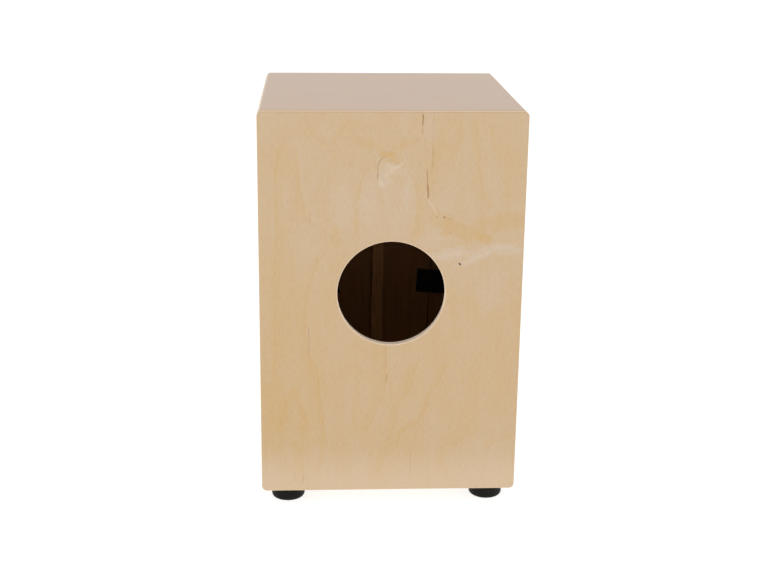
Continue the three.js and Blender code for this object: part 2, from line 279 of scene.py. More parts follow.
BIRCH_GOLD = srgb(201, 165, 110)  # late wood
BIRCH_GREY = srgb(203, 181, 155)  # the palest early wood
SHADE = srgb(96, 66, 38)  # pores and the darkest flecks
TOP_SHEEN_PINK = srgb(186, 148, 132)  # pink painted on the top as a share of the sheen that it shows at a grazing view
RAW_BIRCH = srgb(158, 102, 48)  # the unlacquered inner faces
RAW_STREAK = srgb(112, 70, 32)  # their darker fibres
CRACK = srgb(142, 86, 12)
PIN_KNOT = srgb(84, 44, 8)
PLY_PALE = srgb(236, 208, 170)
PLY_DARK = srgb(190, 150, 108)
GLUE = srgb(120, 80, 48)
PLY = 1.35  # mm, one layer
FACE_VENEER = 0.9  # mm
BLEND = 0.1  # mm, half the width over which the veneer gives way to the plies
LACQUERED = 0.36  # roughness
UNLACQUERED = 0.85  # roughness
COAT_ROUGHNESS = 0.28


def fibres(g, across, along, seed):
    """Fine marks along the grain: a tone from 0 to 1 round 0.5."""
    fine = g.noise(across / 1.2, along / 26, seed, detail=3, roughness=0.6)
    broad = g.noise(across / 4.5, along / 60, seed + 5, detail=3, roughness=0.6)
    return fine * 0.5 + broad * 0.5


def pores(g, across, along, seed):
    """Short dark flecks: 0 where there is none, up to 1."""
    fleck = g.noise(across / 0.9, along / 7, seed, detail=3, roughness=0.7)
    return g.ramp(fleck, 0.42, 0.8)


def growth_rings(g, across, along, seed, pitch, swells):
    """Growth rings cut flat: each rises from 0 to 1 across its width, and then ends sharply.

    Pitch is a ring's width. A swell bends the rings round a point into a tall arch: (across,
    along, half width, half height, rings)."""
    ring = across / pitch + g.noise(across / 60, along / 260, seed, detail=1) * 4.5
    ring = ring + g.noise(across / 16, along / 60, seed + 3, detail=2) * 0.45
    for centre, height, width, reach, rings in swells:
        spread = ((across - centre) / width) ** 2 + ((along - height) / reach) ** 2
        ring = ring + g.math("EXPONENT", -spread) * rings
    phase = g.math("FRACT", ring)
    return g.ramp(phase, 0.15, 0.97) * g.ramp(phase, 1.0, 0.93)


def mottle(g, across, along, seed):
    """Uneven lustre in two sizes, 0 to 1 round 0.5."""
    broad = g.noise(across / 34, along / 60, seed, detail=2, distortion=0.5)
    small = g.noise(across / 5.5, along / 18, seed + 2, detail=4, roughness=0.65, distortion=0.3)
    return broad * 0.5 + small * 0.5


def streak(g, across, along, centre, length, width, lean):
    """A thin mark along the grain that fades at its ends: 1 on it and 0 off it."""
    u, v = centre
    offset = abs(across - u - (along - v) * lean)
    reach = abs(along - v)
    return g.ramp(offset, width, 0) * g.ramp(reach, length / 2, length * 0.3)


def blot(g, across, along, centre, size, turn, edge):
    """A soft oval patch: 1 in its middle and 0 outside. Turn is in degrees, anticlockwise, and edge
    is how much of the patch is its soft edge."""
    u, v = across - centre[0], along - centre[1]
    c, s = math.cos(math.radians(turn)), math.sin(math.radians(turn))
    x = (u * c + v * s) / size[0]
    y = (v * c - u * s) / size[1]
    return g.ramp(x * x + y * y, 1, 1 - edge)


def veneer(g, across, along, seed, pitch=24, swells=(), ring_strength=0.3, figure=None):
    """The colour and the fine relief of a birch face. A figure adds to how golden it is."""
    fibre = fibres(g, across, along, seed)
    gold = growth_rings(g, across, along, seed + 11, pitch, swells) * ring_strength
    gold = gold + (fibre - 0.5) * 0.5 + (mottle(g, across, along, seed + 23) - 0.5) * 0.7 + 0.42
    if figure:
        gold = gold + figure(g, across, along)
    colour = g.mix(BIRCH_GREY, BIRCH_GOLD, gold)
    return g.mix(colour, SHADE, pores(g, across, along, seed + 31) * 0.16), fibre


def plies(g, depth, x, y, z, seed):
    """Plywood's edge: layers that turn dark and pale, with thin glue lines between them."""
    across, along = x + y * 0.3, z + y * 0.3  # aslant, so that the noise varies on every edge
    layer = (depth - FACE_VENEER) / PLY + g.noise(across / 30, along / 30, seed, detail=1) * 0.15
    phase = g.math("FRACT", layer)
    pair = g.math("FRACT", layer / 2)
    end_grain = g.noise(across * 1.4, along * 1.4, depth * 3, detail=3, roughness=0.65)
    dark = g.ramp(pair, 0.47, 0.5) * (end_grain * 0.7 + 0.25)
    colour = g.mix(PLY_PALE, PLY_DARK, dark)
    line = g.ramp(abs(phase - 0.5), 0.455, 0.49)
    return g.mix(colour, GLUE, line * 0.55)


def plywood(name, depth_of, face_of, seed, thickness=PANEL, marks=None, coat=0.0, **grain):
    """Veneered plywood under satin lacquer on its outer face, and raw inside.

    depth_of(x, y, z) gives the depth below the outer face, and face_of(x, y, z) the two
    directions over the face, across the grain and along it, all in millimetres. marks(g, across,
    along, colour) changes the colour of the face, coat is the weight of a second, glossier
    lacquer, and grain goes to veneer."""
    g = Graph(name)
    x, y, z = g.place()
    depth = depth_of(x, y, z)
    across, along = face_of(x, y, z)
    colour, fibre = veneer(g, across, along, seed, **grain)
    if marks:
        colour = marks(g, across, along, colour)
    colour = g.mix(colour, GLUE, seam(g, y, depth) * 0.4)
    inner = g.ramp(depth, thickness / 2, thickness / 2 + 0.5)
    streaks = g.ramp(g.noise(across / 2.4, along / 110, seed + 41, detail=3), 0.42, 0.72)
    raw = g.mix(RAW_BIRCH, RAW_STREAK, streaks * 0.42)
    colour = g.mix(colour, g.mix(raw, colour, 0.15), inner)
    inner_veneer = thickness - FACE_VENEER
    buried = g.ramp(depth, FACE_VENEER - BLEND, FACE_VENEER + BLEND)
    buried = buried * g.ramp(depth, inner_veneer + BLEND, inner_veneer - BLEND)
    edge = plies(g, depth, x, y, z, seed)
    colour = g.mix(colour, edge, buried)
    roughness = fibre * 0.1 + g.mix_number(LACQUERED, UNLACQUERED, inner)
    return g.finish(colour, roughness, fibre, 0.05, Coat_Weight=coat, Coat_Roughness=COAT_ROUGHNESS)


def seam(g, y, depth):
    """The fine dark joints where the front plate and the back panel lie on the other panels: 1 in
    them and 0 elsewhere."""
    rear = g.ramp(abs(y - back_low.y * TO_MM), 0.9, 0.2)
    front = g.ramp(abs(y - plate_high.y * TO_MM), 0.5, 0.1)
    return (rear + front) * g.ramp(depth, 8, 3)


# The back's own figure. Places are millimetres across from the middle, to the right as seen from
# behind, and up from the body's underside.

BACK_SEED = 3.0
LINE_DEPTH = 0.56  # how much more golden a growth line of strength 1 is
# The pale of the scratch, and of the painted glints on curled grain.
PALE_SCAR_AND_GLINT = srgb(226, 206, 178)
PAINTED_FLOOR_BOUNCE = srgb(240, 216, 186)  # painted light bounced from the floor onto the sheet's lowest part
HOLE_PALE = srgb(255, 232, 206)  # sanded birch on the hole's wall; round the hole on the face it is partly sanded birch and partly a painted highlight of the eased rim
NAP = srgb(255, 238, 220)  # light caught in the sanded wall's raised fibres
HOLE_HEIGHT = 245  # mm, the hole's middle above the body's underside
HOLE_REACH = 63  # mm, just past the hole's eased rim

# Growth lines that run up the sheet, as (up, across) points, and the side that their golden
# late wood fades towards: 1 to the right and -1 to the left. Then its reach, and its strength.
UPRIGHT_LINES = [
    ([(125, -141), (162, -135), (255, -134), (331, -130), (400, -129), (422, -123)], 1, 16, 0.4),
    ([(52, -73), (109, -80), (158, -86), (170, -93), (255, -92), (275, -85), (296, -74)], -1, 18, 0.45),
    ([(319, -75), (328, -89), (366, -102), (394, -105), (415, -110), (422, -123)], -1, 18, 0.45),
    ([(302, -37), (337, -38), (368, -36), (388, -28), (397, -20)], -1, 9, 0.4),
    ([(304, 21), (342, 27), (368, 25), (385, 18), (397, 8)], 1, 12, 0.3),
    ([(357, 41), (385, 40), (400, 44), (453, 43)], 1, 16, 0.4),
    ([(380, 64), (400, 69), (428, 77), (448, 74)], -1, 14, 0.3),
    ([(342, 125), (348, 113), (368, 102), (394, 96), (448, 92)], -1, 14, 0.35),
    ([(402, 115), (422, 108), (445, 107)], 1, 8, 0.3),
    ([(68, -31), (96, -17), (121, -8), (136, -5), (184, -7)], -1, 20, 0.45),
    ([(68, -31), (77, -40), (108, -42), (139, -40), (164, -43)], 1, 12, 0.3),
    ([(11, -16), (46, -3), (90, 7), (111, 12), (127, 24), (151, 29), (167, 35)], -1, 16, 0.4),
    ([(42, 4), (58, 10), (74, 16), (89, 36), (120, 47), (145, 61), (166, 69)], -1, 15, 0.45),
    ([(75, -134), (94, -128), (122, -118), (134, -111)], 1, 12, 0.4),
    ([(72, -92), (93, -96), (115, -104), (134, -111)], -1, 12, 0.4),
    ([(11, -100), (37, -102), (62, -107), (69, -117)], -1, 14, 0.4),
]

# The same for lines that run across it, as (across, up) points: 1 fades upwards.
LEVEL_LINES = [
    ([(-100, 448), (-90, 428), (-67, 417), (-55, 434), (-42, 439), (-28, 425), (-9, 406)], 1, 12, 0.3),
    ([(-9, 406), (6, 412), (22, 434), (32, 448)], 1, 12, 0.3),
    ([(-145, 44), (-130, 59), (-117, 69)], -1, 14, 0.3),
    ([(104, 41), (116, 54), (136, 63), (148, 67)], 1, 18, 0.3),
]

# Soft patches: centre, half sizes, turn and strength.
GOLD_PATCHES = [
    ((-5, 405), (13, 5), -10, 0.45),
    ((2, 397), (9, 1.8), -12, 0.35),
    ((-26, 416), (22, 7), -32, 0.2),
    ((16, 418), (20, 6), 38, 0.2),
    ((56, 333), (24, 10), -14, 0.2),
    ((78, 318), (34, 12), -18, 0.3),
    ((122, 329), (46, 13), 6, 0.22),
    ((104, 310), (18, 8), -35, 0.25),
    ((-136, 92), (24, 60), 0, 0.12),
    ((-120, 120), (90, 90), 0, 0.1),
    ((-63, 313), (6, 16), 0, 0.2),
]
GREY_PATCHES = [
    ((2, 389), (19, 8), -14, 0.35),
    ((-12, 378), (10, 14), 14, 0.3),
    ((-28, 358), (13, 40), -6, 0.2),
    ((20, 358), (12, 40), 6, 0.22),
    ((-4, 345), (34, 46), 0, 0.16),
    ((-56, 352), (16, 44), 4, 0.18),
    ((46, 308), (22, 16), 0, 0.22),
    ((68, 292), (38, 9), 9, 0.46),
    ((97, 288), (32, 6), 24, 0.5),
    ((124, 298), (34, 8), -7, 0.4),
    ((60, 270), (60, 26), 8, 0.12),
    ((118, 248), (44, 30), -10, 0.14),
    ((44, 436), (12, 20), 0, 0.16),
    ((118, 44), (60, 34), 16, 0.1),
]

# Cracks and fine lines along the grain: centre, length, width, lean and strength.
CRACKS = [
    ((32.2, 445), 15, 1.0, 0.0, 0.95),
    ((31.9, 434), 12, 0.8, 0.0, 0.35),
    ((43.6, 428), 54, 0.5, 0.0, 0.3),
    ((44.2, 402), 30, 0.8, 0.0, 0.35),
    ((38.2, 379), 24, 0.9, -0.02, 0.65),
    ((39.4, 364), 18, 1.1, -0.06, 0.95),
    ((-92.3, 334), 15, 0.5, -0.06, 0.35),
    ((-84.0, 286), 8, 0.6, -0.05, 0.3),
    ((-94.0, 190), 44, 0.5, 0.0, 0.45),
    ((-5.7, 168), 36, 0.5, 0.0, 0.35),
    ((-4.4, 142), 14, 0.7, 0.1, 0.5),
    ((-111.3, 18), 15, 0.5, 0.0, 0.35),
    ((-101.0, 15), 12, 0.6, 0.12, 0.5),
    ((25.2, 32), 46, 0.45, 0.0, 0.35),
]

# Painted glints: the sheen of curled grain put on as pale colour, under the hook and beside the hole:
# centre, half sizes, turn and strength.
CURLS = [
    ((1, 392), (9, 2.6), 4, 0.3),
    ((9, 395), (6, 2.2), 38, 0.2),
    ((-13, 373), (7, 2.8), -42, 0.25),
    ((-4, 385), (9, 4.5), 30, 0.16),
    ((70, 291), (24, 3.0), 8, 0.12),
    ((100, 289), (22, 2.4), 24, 0.14),
    ((126, 300), (20, 3.0), -8, 0.12),
]

# Pin knots: centre, half sizes, turn and strength.
PINS = [
    ((77.4, 279.9), (2.6, 1.3), -45, 0.95),
    ((58.5, 334.6), (2.0, 1.1), -20, 0.6),
    ((50.2, 335.0), (0.9, 1.6), 0, 0.35),
    ((64.5, 332.6), (0.9, 1.0), 0, 0.4),
    ((66.0, 316.4), (1.3, 0.8), 0, 0.3),
]
HOOK = ((-5, 392), 12, 0.9)  # the mark over the curl: centre, radius and width
SCRATCH = ((45.2, 346), 24, 0.7, -0.55)  # centre, length, width and lean


def late_wood(g, run, over, points, side, reach):
    """Gold on a growth line, fading to one side of it. Points are (run, over), run rising."""
    first, last = points[0][0], points[-1][0]
    middle = sum(out for _, out in points) / len(points)
    span = 200.0  # mm, what the curve's height stands for
    rim = 2.4  # mm, the richest gold beside the line
    line_end = 10  # mm, over which each end fades
    curve = g.node("ShaderNodeFloatCurve")
    line = curve.mapping.curves[0]
    while len(line.points) < len(points):
        line.points.new(0.5, 0.5)
    for spot, (at, out) in zip(line.points, points):
        spot.location = ((at - first) / (last - first), (out - middle) / span + 0.5)
    curve.mapping.update()
    g.put(curve.inputs["Value"], (run - first) / (last - first))
    offset = (over - (Num(g, curve.outputs[0]) - 0.5) * span - middle) * side
    ends = g.ramp(run, first, first + line_end) * g.ramp(run, last, last - line_end)
    fade = g.ramp(offset, reach, 0) * 0.6 + g.ramp(offset, rim, 0) * 0.4
    return fade * g.ramp(offset, -0.7, 0) * ends


def whorl(g, u, v, centre, radius, pitch, squash=0.7):
    """Curled grain round a point: pale and gold bands, strongest in its middle. About -1 to 1."""
    x = u - centre[0]
    y = (v - centre[1]) / squash
    bend = g.noise(u / 7, v / 7, 5.0, detail=3) * 1.6
    away = (x * x + y * y) ** 0.5
    wave = g.math("SINE", (away / pitch + bend) * (2 * math.pi))
    return wave * g.ramp(away, radius, radius * 0.2)


def back_figure(g, u, v):
    """How golden the back's own sheet of veneer is, over its even grain."""
    drift_u = (g.noise(u / 10, v / 22, 4.0, detail=4, roughness=0.6) - 0.5) * 4
    drift_v = (g.noise(u / 14, v / 12, 9.0, detail=4, roughness=0.6) - 0.5) * 5
    wavy_u, wavy_v = u + drift_u, v + drift_v
    gold = whorl(g, u, v, (-3, 391), 22, 5.5) * 0.14
    gold = gold + whorl(g, u, v, (84, 292), 60, 13, 0.3) * 0.07
    for points, side, reach, strength in UPRIGHT_LINES:
        gold = gold + late_wood(g, v, wavy_u, points, side, reach) * strength * LINE_DEPTH
    for points, side, reach, strength in LEVEL_LINES:
        gold = gold + late_wood(g, u, wavy_v, points, side, reach) * strength * LINE_DEPTH
    # Patches have torn edges, by a stronger drift.
    torn_u = u + (g.noise(u / 16, v / 7, 14.0, detail=5, roughness=0.65) - 0.5) * 36
    torn_v = v + (g.noise(u / 16, v / 8, 19.0, detail=5, roughness=0.65) - 0.5) * 18
    for centre, size, turn, strength in GOLD_PATCHES:
        gold = gold + blot(g, torn_u, torn_v, centre, size, turn, 0.98) * strength
    for centre, size, turn, strength in GREY_PATCHES:
        gold = gold - blot(g, torn_u, torn_v, centre, size, turn, 0.98) * strength
    # The sheet is a little more golden from the hole down, and paler again near its lower edge, where light
    # bounced from the floor is painted.
    return gold + g.ramp(v, 300, 250) * 0.1 - g.ramp(v, 60, 10) * 0.12


def hook(g, u, v, centre, radius, width):
    """A thin mark round the left and the top of a curl, with a stem down from its left side."""
    x, y = u - centre[0], v - centre[1]
    away = (x * x + y * y) ** 0.5
    bend = g.ramp(abs(away - radius), width, 0) * g.ramp(y, -1, 1)
    stem = g.ramp(abs(x + radius), width, 0) * g.ramp(y, 1, -1) * g.ramp(y, -radius * 1.6, -radius)
    return bend * g.ramp(x, 0, -8) + stem


def back_marks(g, u, v, colour):
    """The cracks, the hook, a scratch, the pin knots and the curls in the back's sheet of veneer, with
    painted floor bounce light on its lowest part, painted glints on the curls and a pale ring round the
    hole that is partly a painted highlight.
    """
    # Painted light bounced from the floor, on the lowest part of the sheet.
    colour = g.mix(colour, PAINTED_FLOOR_BOUNCE, g.ramp(v, 64, 4) * 0.22)
    jitter = (g.noise(u / 3, v / 5, 6.0, detail=2) - 0.5) * 1.4
    worn = g.ramp(g.noise(u / 6, v / 6, 27.0, detail=2), 0.2, 0.6)
    for centre, length, width, lean, strength in CRACKS:
        colour = g.mix(colour, CRACK, streak(g, u + jitter, v, centre, length, width, lean) * strength)
    colour = g.mix(colour, CRACK, hook(g, u + jitter * 1.6, v, *HOOK) * worn * 0.55)
    colour = g.mix(colour, PALE_SCAR_AND_GLINT, streak(g, u + jitter, v, *SCRATCH) * 0.6)
    for centre, size, turn, strength in PINS:
        colour = g.mix(colour, PIN_KNOT, blot(g, u, v, centre, size, turn, 0.8) * strength)
    # Painted glints: the sheen of curled grain, as pale colour.
    rolling_v = v + (g.noise(u / 9, v / 9, 33.0, detail=3) - 0.5) * 9
    for centre, size, turn, strength in CURLS:
        painted_glint = blot(g, u + jitter, rolling_v, centre, size, turn, 0.95)
        colour = g.mix(colour, PALE_SCAR_AND_GLINT, painted_glint * strength)
    away = (u * u + (v - HOLE_HEIGHT) ** 2) ** 0.5
    # A faint pale ring just outside the hole's rim: partly sanded birch, partly a painted highlight of the
    # eased rim.
    return g.mix(colour, HOLE_PALE, g.ramp(away, HOLE_REACH + 0.6, HOLE_REACH - 0.4) * 0.05)


def back_depth(x, y, z):
    return back_high.y * TO_MM - y


def make_back():
    # Seen from behind, the grain runs up and the right hand is -X.
    base = back_low.z * TO_MM
    return plywood(
        "birch_back",
        back_depth,
        lambda x, y, z: (-x, z - base),
        seed=BACK_SEED,
        figure=back_figure,
        marks=back_marks,
        thickness=(back_high.y - back_low.y) * TO_MM,
        pitch=70,
        ring_strength=0.08,
    )


def make_sanded_edge():
    """The sound hole's wall: sanded end grain, pale and faintly furry, under no lacquer."""
    g = Graph("sanded_edge")
    x, y, z = g.place()
    edge = plies(g, back_depth(x, y, z), x, y, z, BACK_SEED)
    nap = g.noise(x * 1.5, y * 1.5, z * 1.5, detail=4, roughness=0.7)
    colour = g.mix(edge, HOLE_PALE, 0.9)
    sheen = {"Sheen_Weight": 1.0, "Sheen_Roughness": 0.4, "Sheen_Tint": NAP}
    return g.finish(colour, nap * 0.2 + 0.7, nap, 0.08, **sheen)


def sand_hole(piece):
    """Gives the wall of the hole in the back a material of its own."""
    piece.data.materials.append(make_sanded_edge())
    middle = back_low.z + HOLE_HEIGHT * MM
    flat = 0.99  # faces that look this straight forwards or back are the panel's own
    for face in piece.data.polygons:
        away = math.hypot(face.center.x, face.center.z - middle)
        if away < HOLE_REACH * MM and abs(face.normal.y) < flat:
            face.material_index = 1


def make_plate():
    front = plate_low.y * TO_MM
    swells = [(0, 330, 60, 300, 5.0), (-30, 120, 34, 160, 2.2), (60, 90, 30, 150, -1.5)]
    return plywood(
        "birch_plate",
        lambda x, y, z: y - front,
        lambda x, y, z: (x, z),
        seed=31.0,
        thickness=PLATE,
        swells=swells,
    )


def make_sides():
    edge = side_high.x * TO_MM
    swells = [(20, 300, 50, 260, 3.6), (-90, 150, 30, 180, 2.0)]
    return plywood(
        "birch_sides",
        lambda x, y, z: edge - abs(x),
        lambda x, y, z: (y + x * 0.9, z),
        seed=47.0,
        swells=swells,
    )


def make_top():
    top = top_high.z * TO_MM
    return plywood(
        "birch_top",
        lambda x, y, z: top - z,
        lambda x, y, z: (y, x),
        seed=61.0,
        swells=[(-20, 40, 60, 200, 2.0)],
        # Painted sheen: pink mixed into the top for the grazing reflection that it shows.
        marks=lambda g, across, along, colour: g.mix(colour, TOP_SHEEN_PINK, 0.45),
        coat=0.34,
    )


def make_bottom():
    bottom = bottom_low.z * TO_MM
    return plywood(
        "birch_bottom",
        lambda x, y, z: z - bottom,
        lambda x, y, z: (x, y),
        seed=73.0,
        swells=[(30, 0, 50, 160, 2.4)],
    )


# ---------------------------------------------------------------- other materials

PINE = (srgb(222, 192, 146), srgb(186, 136, 82))  # early and late wood
STRUT_PINE = (srgb(196, 142, 84), srgb(172, 118, 64))
RUBBER = (srgb(14, 11, 8), srgb(30, 26, 21))  # clean and scuffed
DUST = srgb(96, 90, 82)
FELT = (srgb(8, 5, 4), srgb(24, 18, 15))
HAIR = srgb(70, 66, 62)
BRIGHT_STEEL = (srgb(150, 152, 156), srgb(205, 206, 208))
BLACK_STEEL = (srgb(26, 26, 28), srgb(52, 52, 55))
WOUND_STRING = (srgb(112, 84, 56), srgb(148, 114, 80))
LACQUER = (srgb(160, 98, 40), srgb(138, 82, 32))
# Bare metal where the lacquer is worn, which also serves as the painted highlight on the strips' rims.
WORN_METAL_AND_HIGHLIGHT = srgb(232, 222, 210)


def make_pine(name, seed, upright, tones=PINE):
    """Sawn and planed pine, unfinished: strong growth rings and some darker fibres."""
    g = Graph(name)
    x, y, z = g.place()
    across, along = (x + y * 0.7, z) if upright else (z + y * 0.7, x)
    fibre = fibres(g, across, along, seed)
    wobble = g.noise(across / 14, along / 160, seed, detail=2) * 5
    phase = g.math("FRACT", across / 5.5 + wobble)
    late = g.ramp(phase, 0.2, 0.9) * g.ramp(phase, 1.0, 0.93)
    colour = g.mix(*tones, late * 0.6 + (fibre - 0.5) * 0.5)
    colour = g.mix(colour, RAW_BIRCH, g.ramp(fibre, 0.5, 0.8) * 0.25)
    return g.finish(colour, fibre * 0.2 + 0.65, fibre * 0.7 + late * 0.3, 0.15)


def make_rubber():
    """Moulded rubber: a fine leathery grain, paler scuffs and dust where it meets the floor."""
    g = Graph("foot_rubber")
    x, y, z = g.place()
    grain = g.noise(x * 2.4, y * 2.4, z * 2.4, detail=3, roughness=0.6)
    scuffs = g.noise(x / 5, y / 5, z / 2, detail=4, roughness=0.65)
    dust = g.ramp(z, 5, 0) * g.ramp(scuffs, 0.45, 0.75)
    colour = g.mix(*RUBBER, g.ramp(scuffs, 0.4, 0.8) * 0.7)
    colour = g.mix(colour, DUST, dust * 0.35)
    return g.finish(colour, grain * 0.2 + 0.5, grain, 0.1, Specular_IOR_Level=0.17)


def make_felt():
    """Pressed black felt: matted fibres and a few pale hairs."""
    g = Graph("black_felt")
    x, y, z = g.place()
    mat = g.noise(x * 1.6, y * 1.6, z * 1.6, detail=5, roughness=0.75, distortion=1.5)
    hairs = g.ramp(g.noise(x * 3, y, z * 0.7, detail=2, distortion=2.5), 0.66, 0.72)
    colour = g.mix(*FELT, mat)
    colour = g.mix(colour, HAIR, hairs * 0.35)
    return g.finish(colour, 0.98, mat, 0.5, Sheen_Weight=0.15)


def make_steel(name, tones, roughness):
    """Steel, plated or wound: fine drawing marks and a slightly cloudy surface."""
    g = Graph(name)
    x, y, z = g.place()
    cloud = g.noise(x / 6, y / 6, z / 6, detail=3)
    marks = g.noise(x * 3, y * 3, z * 0.6, detail=3, roughness=0.7)
    colour = g.mix(*tones, cloud * 0.6 + marks * 0.4)
    return g.finish(colour, marks * 0.22 + roughness, marks, 0.02, Metallic=1.0)


def make_lacquer():
    """Brown stoving lacquer on the snare's strips, worn to bright metal along their edges; that pale edge
    is also a painted highlight where their rims catch the light.
    """
    g = Graph("snare_lacquer")
    x, y, z = g.place()
    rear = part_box("snare_wires")[1].y * TO_MM
    wear = g.noise(x / 3, y / 2, z / 3, detail=4, roughness=0.7)
    edge = g.ramp(rear - y + (wear - 0.5) * 0.1, 0.02, 0.12)
    cloud = g.noise(x / 5, y / 5, z / 5, detail=3)
    colour = g.mix(*LACQUER, cloud)
    # Pale along the edges: wear, and a painted highlight on the rims.
    colour = g.mix(colour, WORN_METAL_AND_HIGHLIGHT, edge)
    return g.finish(colour, g.mix_number(0.55, 0.3, edge), wear, 0.03)


# ---------------------------------------------------------------- pieces

STRUT_WIDTH = 15 * MM
STRIP = {
    "half_width": 46 * MM,
    "height": 9 * MM,
    "thickness": 1.8 * MM,
    "corner": 1.6 * MM,  # radius
    "rim": 0.8 * MM,  # radius
}
COIL = {
    "radius": 1.0 * MM,
    "wire": 0.26 * MM,  # radius
    "sides": 4,  # of the wire
    "pitch": 1.9 * MM,
    "steps": 8,  # in each turn
    "inset": 2 * MM,  # from the strips' outer edges
    "bite": 0.4 * MM,  # into the strip, where it is soldered
    "per_side": 9,
    "first": 9.5 * MM,  # from the middle
    "apart": 4.4 * MM,
}
FOOT = {
    "segments": 96,
    "shank": 2.6 * MM,  # radius of the screw's hole
    "washer_gap": 0.8 * MM,  # round the washer
    "seat_bevel": 0.6 * MM,  # in the counterbore's inner corner
    "mouth_bevel": 0.8 * MM,  # at the counterbore's mouth
    "round_below": 3.5 * MM,  # radius
    "lip_round": 0.8 * MM,  # radius
    "groove_drop": 4.2 * MM,  # below the top
    "groove": 0.35 * MM,  # radius
}
JOINED = 2e-6  # metres; the CAD's corners nearer than this are one corner
FLAT = 0.2  # degrees; the CAD's faces nearer to one plane than this are one face
BATTEN_EASE = 0.4  # mm, like the two below
PAD_EASE = 0.9
WASHER_EASE = 0.2
PLATE_RECESS = (1.7, 1.2)  # mm, a cross recess's reach and depth
FOOT_RECESS = (2.3, 1.8)
SNARE_RECESS = (1.2, 0.8)
RECESS_TAPER = 0.55  # the recess's size at its bottom
RECESS_ARM = 0.5  # an arm's width, of the reach


def mesh_of(bm, name):
    """Turns what was drawn into a mesh."""
    mesh = bpy.data.meshes.new(name)
    bm.to_mesh(mesh)
    bm.free()
    return mesh


def add(name, mesh, material):
    """Puts a new piece in the scene. It rides on the body."""
    piece = bpy.data.objects.new(name, mesh)
    bpy.context.scene.collection.objects.link(piece)
    mesh.materials.clear()
    mesh.materials.append(material)
    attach(piece, "root")
    return piece


def add_for(node, name, mesh, material):
    """Puts a new piece in the scene that replaces a CAD node."""
    piece = add(name, mesh, material)
    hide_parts(node)
    return piece


def smooth(bm, sharp_degrees):
    """Shades round stretches as round and keeps edges sharper than the angle."""
    for face in bm.faces:
        face.smooth = True
    for edge in bm.edges:
        edge.smooth = edge.calc_face_angle(math.pi) < math.radians(sharp_degrees)


def refine(node, material, ease=0.0):
    """A CAD node's own shape with its corners joined, its round edges smooth and its sharp ones eased.

    Ease is the width of the easing in millimetres."""
    bm = bmesh.new()
    bm.from_mesh(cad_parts[node].data)
    bmesh.ops.remove_doubles(bm, verts=bm.verts, dist=JOINED)
    bmesh.ops.dissolve_limit(bm, angle_limit=math.radians(FLAT), verts=bm.verts, edges=bm.edges)
    smooth(bm, 32)
    mesh = mesh_of(bm, node + "_fine")
    if "custom_normal" in mesh.attributes:
        mesh.attributes.remove(mesh.attributes["custom_normal"])
    piece = add_for(node, node + "_fine", mesh, material)
    if ease:
        bevel = piece.modifiers.new("eased", "BEVEL")
        bevel.width = ease * MM
        bevel.segments = 2
        bevel.limit_method = "ANGLE"
        bevel.angle_limit = math.radians(40)
        bevel.harden_normals = False
    weighted = piece.modifiers.new("weighted", "WEIGHTED_NORMAL")
    weighted.keep_sharp = True
    return piece


def make_box():
    """The five panels and the front plate."""
    sand_hole(refine("back_panel", make_back()))
    refine("top_panel", make_top())
    refine("bottom_panel", make_bottom())
    sides = make_sides()
    refine("left_side_panel", sides)
    refine("right_side_panel", sides)
    refine("front_plate", make_plate())


def make_inside():
    """The battens, the strut and the two pads."""
    upright = make_pine("pine_upright", 83.0, True)
    level = make_pine("pine_level", 89.0, False)
    for end in ("front", "rear"):
        for place in ("left", "right"):
            refine(f"{end}_batten_{place}", upright, BATTEN_EASE)
        for place in ("top", "bottom"):
            refine(f"{end}_batten_{place}", level, BATTEN_EASE)
    strut = make_pine("pine_strut", 97.0, True, STRUT_PINE)
    refine("snare_strut", strut, BATTEN_EASE)
    felt = make_felt()
    for side in ("left", "right"):
        refine(f"string_damper_{side}", felt, PAD_EASE)


def ring_of(bm, centre, across, up, radius, count):
    """A ring of points round centre, in the plane of the two directions."""
    step = 2 * math.pi / count
    ring = []
    for i in range(count):
        place = centre + across * (radius * math.cos(i * step)) + up * (radius * math.sin(i * step))
        ring.append(bm.verts.new(place))
    return ring


def bridge(bm, first, second):
    """Faces from one ring of points to the next."""
    for i, corner in enumerate(first):
        j = (i + 1) % len(first)
        bm.faces.new((corner, first[j], second[j], second[i]))


def tube(bm, path, radius, sides):
    """A closed round wire along a list of points."""
    rings = []
    side = Vector((1, 0, 0))
    for i, point in enumerate(path):
        run = (path[min(i + 1, len(path) - 1)] - path[max(i - 1, 0)]).normalized()
        up = run.cross(side).normalized()
        side = up.cross(run).normalized()
        rings.append(ring_of(bm, point, side, up, radius, sides))
    for first, second in zip(rings, rings[1:]):
        bridge(bm, first, second)
    bm.faces.new(list(reversed(rings[0])))
    bm.faces.new(rings[-1])


def lathe(name, profile, centre, segments):
    """A solid of revolution about an upright line. The profile is closed, (radius, height) in metres."""
    bm = bmesh.new()
    rings = []
    for radius, height in profile:
        middle = Vector(centre) + Vector((0, 0, height))
        rings.append(ring_of(bm, middle, Vector((1, 0, 0)), Vector((0, 1, 0)), radius, segments))
    for first, second in zip(rings, rings[1:] + rings[:1]):
        bridge(bm, first, second)
    bmesh.ops.recalc_face_normals(bm, faces=bm.faces)
    smooth(bm, 38)
    return mesh_of(bm, name)


def arc(centre_r, centre_z, radius, start, stop, steps):
    """Points of an arc round (centre_r, centre_z), from start to stop degrees."""
    angles = [math.radians(start + (stop - start) * i / steps) for i in range(steps + 1)]
    return [(centre_r + radius * math.cos(a), centre_z + radius * math.sin(a)) for a in angles]


